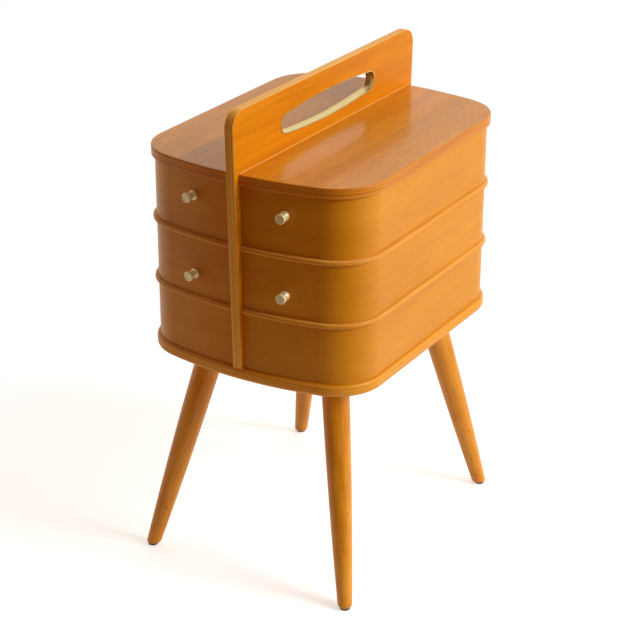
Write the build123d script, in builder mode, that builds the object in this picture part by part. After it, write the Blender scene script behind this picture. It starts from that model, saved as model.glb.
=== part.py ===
from build123d import *
import os
from math import cos, hypot, radians, sin, sqrt

# Sewing box on legs, with four half trays that swing out to the sides round two upright rods.
# Frame: +Z up, the front with the knobs faces -Y, +X is to the right of the handle board.
# Origin: on the floor, under the middle of the box. Millimetres.

# ---- plan of the boxes ----
lid_length = 400.0          # front to back, over the bowed ends
lid_width = 311.0
corner_radius = 64.0
end_bow = 26.5              # how far the short ends swell past their corners
overhang = 4.3              # lids, tray floors and base board stand this proud of the walls
wall_thickness = 5.0        # bent veneer walls
wall_edge_fillet = 1.2
side_thickness = 6.0        # straight inner side of a tray
base_overhang_fillet = 5.0
lid_edge_fillet = 1.5

# ---- heights ----
leg_height = 280.0          # floor to the underside of the base board
base_thickness = 16.0
bottom_wall_height = 71.7
tray_gap = 0.3              # running gap under and over each tray
floor_thickness = 6.0
floor_nose = 2.8            # rounding of the floor's showing edge
middle_wall_height = 72.7
top_wall_height = 75.2
lid_thickness = 13.0

# ---- handle board ----
board_thickness = 12.0
board_rise = 74.8           # above the lids
board_top_projection = 11.4  # each end of its top past the lids' ends
board_foot_projection = 0.5
board_corner = 20.0
board_edge_round = 1.2
lid_groove = 3.0            # depth of the grooves that hold the lids
board_gap = 0.4             # between the board and the trays

# ---- grip hole and its lining ----
grip_length = 218.0         # clear opening inside the lining
grip_height = 33.0
grip_end_radius = 11.5
grip_above_lid = 32.0       # middle of the hole over the lids' top
lining_thickness = 1.2
lining_lip = 0.4            # how far the lining stands out of each face

# ---- pivots ----
pin_offset = 16.0           # rod to the tray's inner side, and radius of its back corner
rod_radius = 4.0
rod_running = 0.05          # radial clearance of the rod in the bushes
rod_seat = 8.0              # how deep the rod sits in the base board and in a lid
bush_radius = 6.0
bush_length = 16.0
block_reach = 16.0          # pivot block, past the rod
washer_radius = 10.0
washer_thickness = 1.0
washer_play = 0.2           # over the washer, in the recess under a floor
washer_side_play = 0.5

# ---- knobs ----
knob_across = 62.5          # from the middle of the board to a knob
top_knob_height = 48.0      # over the tray floor's top
middle_knob_height = 28.0
knob_radius = 6.0
knob_rim_radius = 4.8       # where the neck's hollow meets the flanges
knob_neck_radius = 3.4
knob_length = 14.5
knob_back_flange = 2.6
knob_front_flange = 4.0
knob_edge = 0.6
screw_radius = 2.0
screw_head_radius = 4.0
screw_head_height = 2.2
screw_in_knob = 9.0
screw_end_play = 0.5
screw_play = 0.3            # radial, in the wall
seat_play = 0.05            # flat seats on the bowed wall

# ---- legs ----
leg_top_side_inset = 69.0    # leg axis at the base board's underside, in from the box's sides
leg_top_end_inset = 81.4     # and in from its ends
leg_foot_side_inset = 11.0   # leg axis at the floor
front_foot_end_inset = 12.9
back_foot_end_inset = 22.0   # the back legs splay a little less
leg_top_radius = 17.3
leg_middle_radius = 14.6
leg_foot_radius = 9.0
foot_round = 2.8
glide_radius = 6.5
glide_thickness = 3.0
glide_edge = 1.0
glide_nail_radius = 1.2
glide_nail_length = 14.0
bolt_radius = 4.0
bolt_in_leg = 45.0
bolt_in_base = 11.0
insert_radius = 6.0

# ---- screws from the base board into the handle board ----
board_screw_count = 4
board_screw_end_inset = 50.0 # outer screws, in from the ends of the box
board_screw_radius = 2.0
board_screw_length = 40.0
board_screw_head_radius = 4.5
board_screw_head_height = 3.0

# ---- worked out from the sizes above ----
half_length = lid_length / 2
half_width = lid_width / 2
half_board = board_thickness / 2
end_radius = (half_width**2 + end_bow**2) / (2 * end_bow)
end_centre = end_radius - half_length
reach = 2 * lid_length      # longer than any outline, for cutting rectangles

base_top = leg_height + base_thickness
middle_floor = base_top + bottom_wall_height + tray_gap
top_floor = middle_floor + floor_thickness + middle_wall_height + tray_gap
lid_bottom = top_floor + floor_thickness + top_wall_height + tray_gap
lid_top = lid_bottom + lid_thickness
board_top = lid_top + board_rise
grip_centre = lid_top + grip_above_lid

tray_inner = half_board + board_gap
pin_x = tray_inner + pin_offset
pin_y = sqrt((end_radius - pin_offset)**2 - pin_x**2) - end_centre
bottom_inner = half_board
washer_recess = washer_thickness + washer_play - tray_gap

board_top_half = half_length + board_top_projection
board_foot_half = half_length + board_foot_projection
board_screw_reach = half_length - board_screw_end_inset
board_screw_step = 2 * board_screw_reach / (board_screw_count - 1)
board_screw_places = [(0, i * board_screw_step - board_screw_reach) for i in range(board_screw_count)]

leg_top_across = half_width - leg_top_side_inset
leg_top_along = half_length - leg_top_end_inset
leg_foot_across = half_width - leg_foot_side_inset
front_foot_along = half_length - front_foot_end_inset
back_foot_along = half_length - back_foot_end_inset

sides = {"right": 1, "left": -1}
legs = {"front_left": (-1, -1), "front_right": (1, -1), "back_right": (1, 1), "back_left": (-1, 1)}
tiers = {
    "middle": (middle_floor, middle_wall_height, middle_knob_height),
    "top": (top_floor, top_wall_height, top_knob_height),
}

os.makedirs("parts", exist_ok=True)


def save(piece, name):
    piece.part.label = name
    export_step(piece.part, f"parts/{name}.step")


# ---- outlines in plan, shared by every tier ----
def box_plan(inset):
    """Outline of the lids moved inwards by inset: bowed ends, straight sides, round corners."""
    with BuildSketch() as plan:
        Rectangle(2 * (half_width - inset), 2 * (half_length - inset))
        for centre in (end_centre, -end_centre):
            with Locations((0, centre)):
                Circle(end_radius - inset, mode=Mode.INTERSECT)
        fillet(plan.vertices(), radius=corner_radius - inset)
    return plan.sketch


def half_plan(side, inset, inner):
    """The right (side 1) or left (side -1) half of the outline, from the distance inner outwards."""
    with BuildSketch() as half:
        add(box_plan(inset))
        with Locations((side * (inner + reach / 2), 0)):
            Rectangle(reach, reach, mode=Mode.INTERSECT)
    return half.sketch


def swing_limit(side):
    """All that may turn past the handle board: nothing behind the rod lies beyond pin_offset."""
    with BuildSketch() as limit:
        with Locations((side * pin_x, pin_y)):
            Circle(pin_offset)
        with Locations((side * (pin_x + reach / 2), 0)):
            Rectangle(reach, 2 * reach)
        with Locations((0, pin_y - reach / 2)):
            Rectangle(2 * reach, reach)
    return limit.sketch


def wall_plan(side, inner, back_stop):
    """Bent wall: a U from the front end at the board, round the outside, to back_stop."""
    with BuildSketch() as wall:
        add(half_plan(side, overhang, inner))
        add(box_plan(overhang + wall_thickness), mode=Mode.SUBTRACT)
        with Locations((side * (back_stop - reach / 2), reach / 2)):
            Rectangle(reach, reach, mode=Mode.SUBTRACT)
    return wall.sketch


def block_plan(side, inner, back_stop):
    """Corner block round the rod: inside the wall, and out to its back face where the wall stops."""
    with BuildSketch() as block:
        add(half_plan(side, overhang, inner))
        with Locations((side * (pin_x + block_reach - reach / 2), pin_y - block_reach + reach / 2)):
            Rectangle(reach, reach, mode=Mode.INTERSECT)
        add(wall_plan(side, inner, back_stop), mode=Mode.SUBTRACT)
        with Locations((side * pin_x, pin_y)):
            Circle(rod_radius, mode=Mode.SUBTRACT)
    return block.sketch


def grip_plan(grow):
    """Long oval of four arcs, its outline moved outwards by grow; y is measured up from the floor."""
    half_long = grip_length / 2 + grow
    half_high = grip_height / 2 + grow
    end_r = grip_end_radius + grow
    end_x = half_long - end_r
    side_r = (end_x**2 / (half_high - end_r) + end_r + half_high) / 2
    centre_y = side_r - half_high
    lean = end_r / (side_r - end_r)
    join_x = end_x * (1 + lean)
    join_y = centre_y * lean
    with BuildSketch() as oval:
        with BuildLine(Plane.XY.move(Location((0, grip_centre)))):
            for s in (1, -1):
                ThreePointArc((-join_x, s * join_y), (0, s * half_high), (join_x, s * join_y))
                ThreePointArc((s * join_x, -join_y), (s * half_long, 0), (s * join_x, join_y))
        make_face()
    return oval.sketch


# ---- knob axes: square to the bowed front at the knob's distance from the board ----
def knob_direction(side):
    lean_x = side * knob_across
    lean_y = -sqrt((end_radius - overhang)**2 - knob_across**2)
    return Vector(lean_x, lean_y, 0).normalized()


def knob_seat(side, height):
    """Point on the outer face of the front wall."""
    out = knob_direction(side) * (end_radius - overhang)
    return Vector(out.X, out.Y + end_centre, height)


def knob_profile_plane(side, height):
    """Local x is the radius, local y runs out along the knob's axis."""
    up = Vector(0, 0, 1)
    return Plane(origin=knob_seat(side, height), x_dir=up, z_dir=up.cross(knob_direction(side)))


def knob_cross_plane(side, height):
    return Plane(origin=knob_seat(side, height), x_dir=(0, 0, 1), z_dir=knob_direction(side))


# ---- legs: points and planes along the axis of one leg ----
def leg_top_point(sx, sy):
    return Vector(sx * leg_top_across, sy * leg_top_along, leg_height)


def leg_foot_point(sx, sy):
    along = front_foot_along if sy < 0 else back_foot_along
    return Vector(sx * leg_foot_across, sy * along, 0)


def leg_direction(sx, sy):
    return (leg_foot_point(sx, sy) - leg_top_point(sx, sy)).normalized()


def leg_profile_plane(sx, sy):
    """Local x is the radius, local y runs down the leg's axis from the base board."""
    down = leg_direction(sx, sy)
    level = down.cross(Vector(0, 0, 1)).normalized()
    return Plane(origin=leg_top_point(sx, sy), x_dir=level, z_dir=level.cross(down))


def leg_cross_plane(sx, sy):
    """Square to the leg's axis at the base board; its normal runs down the leg."""
    return Plane(origin=leg_top_point(sx, sy), z_dir=leg_direction(sx, sy))


# ================= fixed pieces =================
with BuildPart() as base_board:
    with BuildSketch(Plane.XY.offset(leg_height)):
        add(box_plan(0))
    extrude(amount=base_thickness)
    rims = base_board.edges().filter_by(Plane.XY)
    fillet(rims, radius=base_overhang_fillet)
    # blind seats of the two pivot rods
    with BuildSketch(Plane.XY.offset(base_top)):
        with Locations(*[(side * pin_x, pin_y) for side in sides.values()]):
            Circle(rod_radius)
    extrude(amount=-rod_seat, mode=Mode.SUBTRACT)
    # leaning holes of the threaded inserts
    for sx, sy in legs.values():
        with BuildSketch(leg_cross_plane(sx, sy).offset(-bolt_in_base)):
            Circle(insert_radius)
        extrude(amount=bolt_in_base + insert_radius, mode=Mode.SUBTRACT)
    # counterbored screw holes from below
    with Locations(*[Location((x, y, leg_height), (180, 0, 0)) for x, y in board_screw_places]):
        CounterBoreHole(board_screw_radius, board_screw_head_radius, board_screw_head_height)
save(base_board, "base_board")

with BuildPart() as handle_board:
    with BuildSketch(Plane.YZ):
        with BuildLine():
            Polyline(
                (-board_foot_half, base_top),
                (board_foot_half, base_top),
                (board_top_half, board_top),
                (-board_top_half, board_top),
                close=True,
            )
        face = make_face()
        fillet(face.vertices().group_by(Axis.Y)[-1], radius=board_corner)
    extrude(amount=half_board, both=True)
    outer = handle_board.edges().filter_by(lambda edge: edge.center().Z > base_top + board_edge_round)
    fillet(outer.filter_by(lambda edge: abs(abs(edge.center().X) - half_board) < 0.01),
           radius=board_edge_round)
    with BuildSketch(Plane.YZ):
        add(grip_plan(lining_thickness))
    extrude(amount=board_thickness, both=True, mode=Mode.SUBTRACT)
    # grooves for the inner edges of the lids
    with BuildSketch(Plane.XY.offset(lid_bottom)):
        for side in sides.values():
            add(half_plan(side, 0, half_board - lid_groove))
    extrude(amount=lid_thickness, mode=Mode.SUBTRACT)
    # pilot holes of the screws from below
    with BuildSketch(Plane.XY.offset(base_top)):
        with Locations(*board_screw_places):
            Circle(board_screw_radius)
    extrude(amount=leg_height + board_screw_length - base_top, mode=Mode.SUBTRACT)
save(handle_board, "handle_board")

with BuildPart() as grip_lining:
    with BuildSketch(Plane.YZ):
        add(grip_plan(lining_thickness))
        add(grip_plan(0), mode=Mode.SUBTRACT)
    extrude(amount=half_board + lining_lip, both=True)
save(grip_lining, "grip_lining")

with BuildPart() as board_screws:
    with BuildSketch(Plane.XY.offset(leg_height)):
        with Locations(*board_screw_places):
            Circle(board_screw_head_radius)
    extrude(amount=board_screw_head_height)
    with BuildSketch(Plane.XY.offset(leg_height)):
        with Locations(*board_screw_places):
            Circle(board_screw_radius)
    extrude(amount=board_screw_length)
save(board_screws, "board_screws")

for side_name, side in sides.items():
    with BuildPart() as lid:
        with BuildSketch(Plane.XY.offset(lid_bottom)):
            add(half_plan(side, 0, half_board - lid_groove))
        extrude(amount=lid_thickness)
        rims = lid.edges().filter_by(Plane.XY)
        fillet(rims.filter_by(lambda edge: abs(edge.center().X) > half_board), radius=lid_edge_fillet)
        with BuildSketch(Plane.XY.offset(lid_bottom)):
            with Locations((side * pin_x, pin_y)):
                Circle(rod_radius)
        extrude(amount=rod_seat, mode=Mode.SUBTRACT)
    save(lid, f"{side_name}_lid")

    with BuildPart() as bottom_wall:
        with BuildSketch(Plane.XY.offset(base_top)):
            add(wall_plan(side, half_board, half_board))
        extrude(amount=bottom_wall_height)
    save(bottom_wall, f"bottom_{side_name}_wall")

    with BuildPart() as bottom_post:
        with BuildSketch(Plane.XY.offset(base_top)):
            add(block_plan(side, half_board, half_board))
        extrude(amount=bottom_wall_height)
    save(bottom_post, f"bottom_{side_name}_post")

    with BuildPart() as pivot_rod:
        with BuildSketch(Plane.XY.offset(base_top - rod_seat)):
            with Locations((side * pin_x, pin_y)):
                Circle(rod_radius)
        extrude(amount=lid_bottom - base_top + 2 * rod_seat)
    save(pivot_rod, f"{side_name}_pivot_rod")

# one washer under each tray, round the rod
with BuildPart() as pivot_washers:
    for floor_height, wall_height, knob_height in tiers.values():
        with BuildSketch(Plane.XY.offset(floor_height - tray_gap + washer_play / 2)):
            with Locations(*[(side * pin_x, pin_y) for side in sides.values()]):
                Circle(washer_radius)
                Circle(rod_radius, mode=Mode.SUBTRACT)
        extrude(amount=washer_thickness)
save(pivot_washers, "pivot_washers")

# ================= legs =================
leg_spare = leg_top_radius      # past both ends, cut off level below

for leg_name, (sx, sy) in legs.items():
    foot = leg_foot_point(sx, sy)
    leg_length = (foot - leg_top_point(sx, sy)).length
    with BuildPart() as leg:
        with BuildSketch(leg_profile_plane(sx, sy)):
            with BuildLine():
                side_curve = ThreePointArc(
                    (leg_top_radius, 0), (leg_middle_radius, leg_length / 2), (leg_foot_radius, leg_length)
                )
                Polyline(
                    side_curve @ 1,
                    (leg_foot_radius, leg_length + leg_spare),
                    (0, leg_length + leg_spare),
                    (0, -leg_spare),
                    (leg_top_radius, -leg_spare),
                    side_curve @ 0,
                )
            make_face()
        revolve(axis=Axis(leg_top_point(sx, sy), leg_direction(sx, sy)))
        split(bisect_by=Plane.XY.offset(leg_height), keep=Keep.BOTTOM)
        split(bisect_by=Plane.XY.offset(glide_thickness), keep=Keep.TOP)
        fillet(leg.edges().group_by(Axis.Z)[0], radius=foot_round)
        with BuildSketch(leg_cross_plane(sx, sy)):
            Circle(bolt_radius)
        extrude(amount=bolt_in_leg, both=True, mode=Mode.SUBTRACT)
        with BuildSketch(Plane.XY.offset(glide_thickness)):
            with Locations((foot.X, foot.Y)):
                Circle(glide_nail_radius)
        extrude(amount=glide_nail_length, mode=Mode.SUBTRACT)
    save(leg, f"{leg_name}_leg")

with BuildPart() as leg_bolts:
    for sx, sy in legs.values():
        with BuildSketch(leg_cross_plane(sx, sy)):
            Circle(bolt_radius)
        extrude(amount=bolt_in_leg)
        with BuildSketch(leg_cross_plane(sx, sy)):
            Circle(bolt_radius)
        extrude(amount=-bolt_in_base)
save(leg_bolts, "leg_bolts")

with BuildPart() as leg_inserts:
    for sx, sy in legs.values():
        with BuildSketch(leg_cross_plane(sx, sy).offset(-bolt_in_base)):
            Circle(insert_radius)
            Circle(bolt_radius, mode=Mode.SUBTRACT)
        extrude(amount=bolt_in_base + insert_radius)
    split(bisect_by=Plane.XY.offset(leg_height), keep=Keep.TOP)
save(leg_inserts, "leg_inserts")

with BuildPart() as foot_glides:
    foot_places = [(leg_foot_point(*leg).X, leg_foot_point(*leg).Y) for leg in legs.values()]
    with BuildSketch():
        with Locations(*foot_places):
            Circle(glide_radius)
    extrude(amount=glide_thickness)
    fillet(foot_glides.edges().group_by(Axis.Z)[0], radius=glide_edge)
    with BuildSketch(Plane.XY.offset(glide_thickness)):
        with Locations(*foot_places):
            Circle(glide_nail_radius)
    extrude(amount=glide_nail_length)
save(foot_glides, "foot_glides")

# ================= the four trays =================
for tier_name, (floor_height, wall_height, knob_over_floor) in tiers.items():
    wall_base = floor_height + floor_thickness
    wall_top = wall_base + wall_height
    knob_height = wall_base + knob_over_floor
    for side_name, side in sides.items():
        tray = f"{tier_name}_{side_name}"

        with BuildPart() as tray_floor:
            with BuildSketch(Plane.XY.offset(floor_height)):
                add(half_plan(side, 0, tray_inner))
            extrude(amount=floor_thickness)
            rims = tray_floor.edges().filter_by(Plane.XY)
            fillet(rims.filter_by(lambda edge: abs(edge.center().X) > tray_inner + 0.01), radius=floor_nose)
            with BuildSketch(Plane.XY.offset(floor_height)):
                add(swing_limit(side))
            extrude(amount=floor_thickness, mode=Mode.INTERSECT)
            with BuildSketch(Plane.XY.offset(floor_height)):
                with Locations((side * pin_x, pin_y)):
                    Circle(washer_radius + washer_side_play)
            extrude(amount=washer_recess, mode=Mode.SUBTRACT)
            with BuildSketch(Plane.XY.offset(floor_height)):
                with Locations((side * pin_x, pin_y)):
                    Circle(bush_radius)
            extrude(amount=floor_thickness, mode=Mode.SUBTRACT)
        save(tray_floor, f"{tray}_floor")

        with BuildPart() as tray_wall:
            with BuildSketch(Plane.XY.offset(wall_base)):
                add(wall_plan(side, tray_inner, pin_x))
            extrude(amount=wall_height)
            top_edges = tray_wall.edges().group_by(Axis.Z)[-1]
            long_edges = top_edges.filter_by(lambda edge: edge.length > 2 * wall_thickness)
            fillet(long_edges, radius=wall_edge_fillet)
            with BuildSketch(knob_cross_plane(side, knob_height)):
                Circle(screw_radius + screw_play)
            extrude(amount=2 * wall_thickness, both=True, mode=Mode.SUBTRACT)
        save(tray_wall, f"{tray}_wall")

        with BuildPart() as tray_side:
            outer_face = side * (tray_inner + side_thickness)
            with BuildSketch(Plane.XY.offset(wall_base)):
                add(half_plan(side, overhang + wall_thickness, tray_inner))
                with Locations((outer_face - side * reach / 2, pin_y - block_reach - reach / 2)):
                    Rectangle(reach, reach, mode=Mode.INTERSECT)
            extrude(amount=wall_height)
        save(tray_side, f"{tray}_side")

        with BuildPart() as pivot_block:
            with BuildSketch(Plane.XY.offset(wall_base)):
                add(block_plan(side, tray_inner, pin_x))
                add(swing_limit(side), mode=Mode.INTERSECT)
                with Locations((side * pin_x, pin_y)):
                    Circle(bush_radius, mode=Mode.SUBTRACT)
            extrude(amount=wall_height)
        save(pivot_block, f"{tray}_pivot_block")

        with BuildPart() as pivot_bushes:
            for low in (floor_height + washer_recess, wall_top - bush_length):
                with BuildSketch(Plane.XY.offset(low)):
                    with Locations((side * pin_x, pin_y)):
                        Circle(bush_radius)
                        Circle(rod_radius + rod_running, mode=Mode.SUBTRACT)
                extrude(amount=bush_length)
        save(pivot_bushes, f"{tray}_pivot_bushes")

        knob_axis = Axis(knob_seat(side, knob_height), knob_direction(side))
        with BuildPart() as knob:
            with BuildSketch(knob_profile_plane(side, knob_height)):
                with BuildLine():
                    neck_low = (knob_rim_radius, knob_back_flange)
                    neck_middle = (knob_neck_radius, (knob_back_flange + knob_length - knob_front_flange) / 2)
                    neck_high = (knob_rim_radius, knob_length - knob_front_flange)
                    Polyline(
                        (screw_radius, seat_play),
                        (knob_radius, seat_play),
                        (knob_radius, knob_back_flange),
                        neck_low,
                    )
                    ThreePointArc(neck_low, neck_middle, neck_high)
                    Polyline(
                        neck_high,
                        (knob_radius, knob_length - knob_front_flange),
                        (knob_radius, knob_length),
                        (0, knob_length),
                        (0, screw_in_knob),
                        (screw_radius, screw_in_knob),
                        (screw_radius, seat_play),
                    )
                make_face()
            revolve(axis=knob_axis)
            rims = knob.edges().filter_by(GeomType.CIRCLE)
            fillet(rims.filter_by(lambda edge: abs(edge.radius - knob_radius) < 0.01), radius=knob_edge)
        save(knob, f"{tray}_knob")

        with BuildPart() as knob_screw:
            head_top = -wall_thickness - seat_play
            head_end = head_top - screw_head_height
            with BuildSketch(knob_profile_plane(side, knob_height)):
                with BuildLine():
                    Polyline(
                        (0, head_end),
                        (screw_head_radius / 2, head_end),
                        (screw_head_radius, head_top - screw_head_height / 2),
                        (screw_head_radius, head_top),
                        (screw_radius, head_top),
                        (screw_radius, screw_in_knob - screw_end_play),
                        (0, screw_in_knob - screw_end_play),
                        (0, head_end),
                    )
                make_face()
            revolve(axis=knob_axis)
        save(knob_screw, f"{tray}_knob_screw")
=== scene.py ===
import math

import bmesh
import bpy
from mathutils import Matrix, Vector


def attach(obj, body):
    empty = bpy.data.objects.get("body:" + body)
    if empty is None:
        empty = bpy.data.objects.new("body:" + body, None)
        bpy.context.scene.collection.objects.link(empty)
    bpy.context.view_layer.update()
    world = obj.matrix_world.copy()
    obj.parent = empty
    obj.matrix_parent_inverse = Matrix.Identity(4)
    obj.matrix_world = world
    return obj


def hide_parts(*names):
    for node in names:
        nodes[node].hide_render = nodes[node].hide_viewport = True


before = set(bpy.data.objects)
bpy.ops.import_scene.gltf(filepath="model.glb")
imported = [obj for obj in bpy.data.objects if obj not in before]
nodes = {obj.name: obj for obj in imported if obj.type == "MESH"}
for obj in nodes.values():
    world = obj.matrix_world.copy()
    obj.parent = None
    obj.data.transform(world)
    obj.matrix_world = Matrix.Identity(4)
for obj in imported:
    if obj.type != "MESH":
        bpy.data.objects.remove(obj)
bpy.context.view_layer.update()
scene = bpy.context.scene
scene.view_settings.view_transform = "Standard"
print("frame loaded:", len(nodes), "nodes")

# a sewing box with swing-out trays: its looks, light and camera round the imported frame
mmPerMetre = 1000                   # sizes and patterns are given in mm, the scene is in metres
sharpFrom = math.radians(38)        # an edge that bends more than this stays sharp
noiseLow, noiseMiddle, noiseHigh = 0.3, 0.5, 0.7        # nearly all of a noise lies between the outer two
noiseRoughness = 0.55
white = (1, 1, 1, 1)
numberMath, vectorMath = "ShaderNodeMath", "ShaderNodeVectorMath"
smoothStep = {"interpolation_type": "SMOOTHSTEP"}
colourMix = {"data_type": "RGBA"}
onPoints = {"data_type": "FLOAT_VECTOR", "domain": "POINT"}


# sRGB hex to the linear colour that the nodes take
def linear(hexText):
    parts = [int(hexText[i:i + 2], 16) / 255 for i in (1, 3, 5)]
    return [p / 12.92 if p <= 0.04045 else ((p + 0.055) / 1.055) ** 2.4 for p in parts] + [1.0]


# one node with its settings, its links or values, and the stops of a ramp or the points of a curve;
# only the sockets that the settings leave in use are counted, and a node as a value means its first output
def addNode(tree, kind, settings=None, links=None, stops=None, points=None):
    node = tree.nodes.new(kind)
    for name, value in (settings or {}).items():
        setattr(node, name, value)
    inputs = [socket for socket in node.inputs if socket.enabled]
    for key, value in (links or {}).items():
        socket = inputs[key] if isinstance(key, int) else next(s for s in inputs if s.name == key)
        if isinstance(value, bpy.types.Node):
            value = next(output for output in value.outputs if output.enabled)
        if isinstance(value, bpy.types.NodeSocket):
            tree.links.new(value, socket)
        else:
            socket.default_value = value
    if stops:
        ramp = node.color_ramp
        ramp.elements[0].position, ramp.elements[0].color = stops[0]
        ramp.elements[1].position, ramp.elements[1].color = stops[-1]
        for place, colour in stops[1:-1]:
            ramp.elements.new(place).color = colour
    if points:
        curve = node.mapping.curves[0]
        curve.points[0].location = points[0]
        curve.points[1].location = points[-1]
        for place in points[1:-1]:
            curve.points.new(*place)
        for point in curve.points:
            point.handle_type = "VECTOR"
        node.mapping.update()
    return node


# a formula, one node for each row of (name, kind, operation, parts):
# a part is a number, a vector, or the name of something known by then
def workOut(tree, known, rows):
    for name, kind, operation, *parts in rows:
        values = [known[part] if isinstance(part, str) else part for part in parts]
        known[name] = addNode(tree, kind, {"operation": operation}, dict(enumerate(values)))


def newMaterial(name):
    material = bpy.data.materials.new(name)
    material.use_nodes = True
    material.node_tree.nodes.clear()
    return material, material.node_tree


def addObject(name, data):
    thing = bpy.data.objects.new(name, data)
    scene.collection.objects.link(thing)
    return thing


# from the object towards a place: degrees from the front round to the right, and degrees up
def aim(azimuth, elevation):
    azimuth, elevation = math.radians(azimuth), math.radians(elevation)
    return Vector((
        math.sin(azimuth) * math.cos(elevation),
        -math.cos(azimuth) * math.cos(elevation),
        math.sin(elevation),
    ))


# camera: the photograph's view, in the part's own frame
cameraShot = {
    "place": (1.104684, -1.843327, 1.268108),       # metres
    "azimuth": 31.069, "elevation": 24.678, "roll": 0.262,      # degrees
    "lens": 104.09, "sensor": 36.0,                 # mm
    "clipStart": 0.05, "clipEnd": 50.0,             # metres
}


def makeCamera(shot):
    back = aim(shot["azimuth"], shot["elevation"])
    roll = math.radians(shot["roll"])
    level = (-back).cross(Vector((0, 0, 1))).normalized()
    upright = level.cross(-back)
    right = level * math.cos(roll) + upright * math.sin(roll)
    up = upright * math.cos(roll) - level * math.sin(roll)
    data = bpy.data.cameras.new("photoCamera")
    data.lens, data.sensor_width = shot["lens"], shot["sensor"]
    data.clip_start, data.clip_end = shot["clipStart"], shot["clipEnd"]
    camera = addObject("photoCamera", data)
    turn = Matrix((right, up, back)).transposed().to_4x4()
    camera.matrix_world = Matrix.Translation(shot["place"]) @ turn
    scene.camera = camera


makeCamera(cameraShot)
print("camera placed")

# the room round the object: dim in front, bright towards its two pale sides, white to the camera
roomLook = {
    "dim": "#683e22", "bright": "#fffdee", "strength": 1.08,
    # a side's direction, and the cosines of the angle off it between which dim turns to bright
    "sides": (
        {"towards": (0.3, 0.93, 0.1), "from": -0.3, "to": 0.55},        # white surround behind and right
        {"towards": (-0.97, 0.2, -0.1), "from": 0.35, "to": 0.95},      # pale wall on the left
    ),
}


def makeRoom(look):
    world = bpy.data.worlds.new("studioRoom")
    scene.world = world
    world.use_nodes = True
    tree = world.node_tree
    tree.nodes.clear()
    direction = addNode(tree, "ShaderNodeTexCoord").outputs["Generated"]
    share = 0.0
    for side in look["sides"]:
        facing = addNode(tree, vectorMath, {"operation": "DOT_PRODUCT"}, {
            0: direction, 1: Vector(side["towards"]).normalized(),
        })
        lit = addNode(tree, "ShaderNodeMapRange", smoothStep, {
            "Value": facing, "From Min": side["from"], "From Max": side["to"],
        })
        share = addNode(tree, numberMath, {"operation": "MAXIMUM"}, {0: share, 1: lit})
    colour = addNode(tree, "ShaderNodeMix", colourMix, {
        "Factor": share, "A": linear(look["dim"]), "B": linear(look["bright"]),
    })
    room = addNode(tree, "ShaderNodeBackground", None, {"Color": colour, "Strength": look["strength"]})
    backdrop = addNode(tree, "ShaderNodeBackground", None, {"Color": white, "Strength": 1.0})
    ray = addNode(tree, "ShaderNodeLightPath").outputs
    seen = addNode(tree, "ShaderNodeMixShader", None, {0: ray["Is Camera Ray"], 1: room, 2: backdrop})
    addNode(tree, "ShaderNodeOutputWorld", None, {0: seen})


# a soft square lamp on the right, a little behind the object
lampLook = {
    "watts": 40.0, "size": 0.8, "distance": 2.4,    # metres
    "azimuth": 98.0, "elevation": 28.0,             # degrees
    "aimHeight": 0.4,                               # of the point that it shines at
}


def makeLamp(look):
    towards = aim(look["azimuth"], look["elevation"])
    data = bpy.data.lights.new("sideLamp", "AREA")
    data.shape, data.size, data.energy = "SQUARE", look["size"], look["watts"]
    lamp = addObject("sideLamp", data)
    lamp.location = towards * look["distance"] + Vector((0, 0, look["aimHeight"]))
    lamp.rotation_mode = "QUATERNION"
    lamp.rotation_quaternion = towards.to_track_quat("Z", "Y")


# matt paper under the feet: white to the camera and in reflections, and keeps the soft shadow
paperLook = {
    "radius": 0.75, "sides": 96,        # metres
    "fadeFrom": 0.55, "fadeTo": 0.97,   # shares of the radius between which the shadow fades out
    "colour": "#eaecef", "lift": 0.5,   # lift: light of its own that keeps the shadow pale
}


def makePaper(look):
    radius, sides = look["radius"], look["sides"]
    turns = [2 * math.pi * i / sides for i in range(sides)]
    mesh = bpy.data.meshes.new("paper")
    rim = [(radius * math.cos(turn), radius * math.sin(turn), 0) for turn in turns]
    mesh.from_pydata(rim, [], [list(range(sides))])
    paper = addObject("paper", mesh)
    material, tree = newMaterial("mattPaper")
    place = addNode(tree, "ShaderNodeTexCoord").outputs["Object"]
    distance = addNode(tree, vectorMath, {"operation": "LENGTH"}, {0: place})
    outwards = addNode(tree, "ShaderNodeMapRange", smoothStep, {
        "Value": distance, "From Min": radius * look["fadeFrom"], "From Max": radius * look["fadeTo"],
    })
    lit = addNode(tree, "ShaderNodeBsdfDiffuse", None, {"Color": linear(look["colour"])})
    lift = addNode(tree, "ShaderNodeEmission", None, {"Color": white, "Strength": look["lift"]})
    lifted = addNode(tree, "ShaderNodeAddShader", None, {0: lit, 1: lift})
    plain = addNode(tree, "ShaderNodeEmission", None, {"Color": white, "Strength": 1.0})
    shown = addNode(tree, "ShaderNodeMixShader", None, {0: outwards, 1: lifted, 2: plain})
    ray = addNode(tree, "ShaderNodeLightPath").outputs
    seen = addNode(tree, numberMath, {"operation": "MAXIMUM"}, {
        0: ray["Is Camera Ray"], 1: ray["Is Glossy Ray"],
    })
    either = addNode(tree, "ShaderNodeMixShader", None, {0: seen, 1: lit, 2: shown})
    addNode(tree, "ShaderNodeOutputMaterial", None, {0: either})
    mesh.materials.append(material)


makeRoom(roomLook)
makeLamp(lampLook)
makePaper(paperLook)
print("light and paper made")

# layers of a pattern: the noise's detail, and a shift that keeps the layers apart
layerNoise = {
    "fine": (3.0, 0.0), "streak": (2.0, 3.1), "patch": (1.0, 7.7), "pore": (1.0, 12.3),
    "edge": (2.0, 5.5), "line": (2.0, 0.0),
}


# a pattern's scale from its size in mm: long along the axes of its run, short across them
def patternScale(run, length, width):
    return [mmPerMetre / (length if axis in run else width) for axis in "xyz"]


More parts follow.
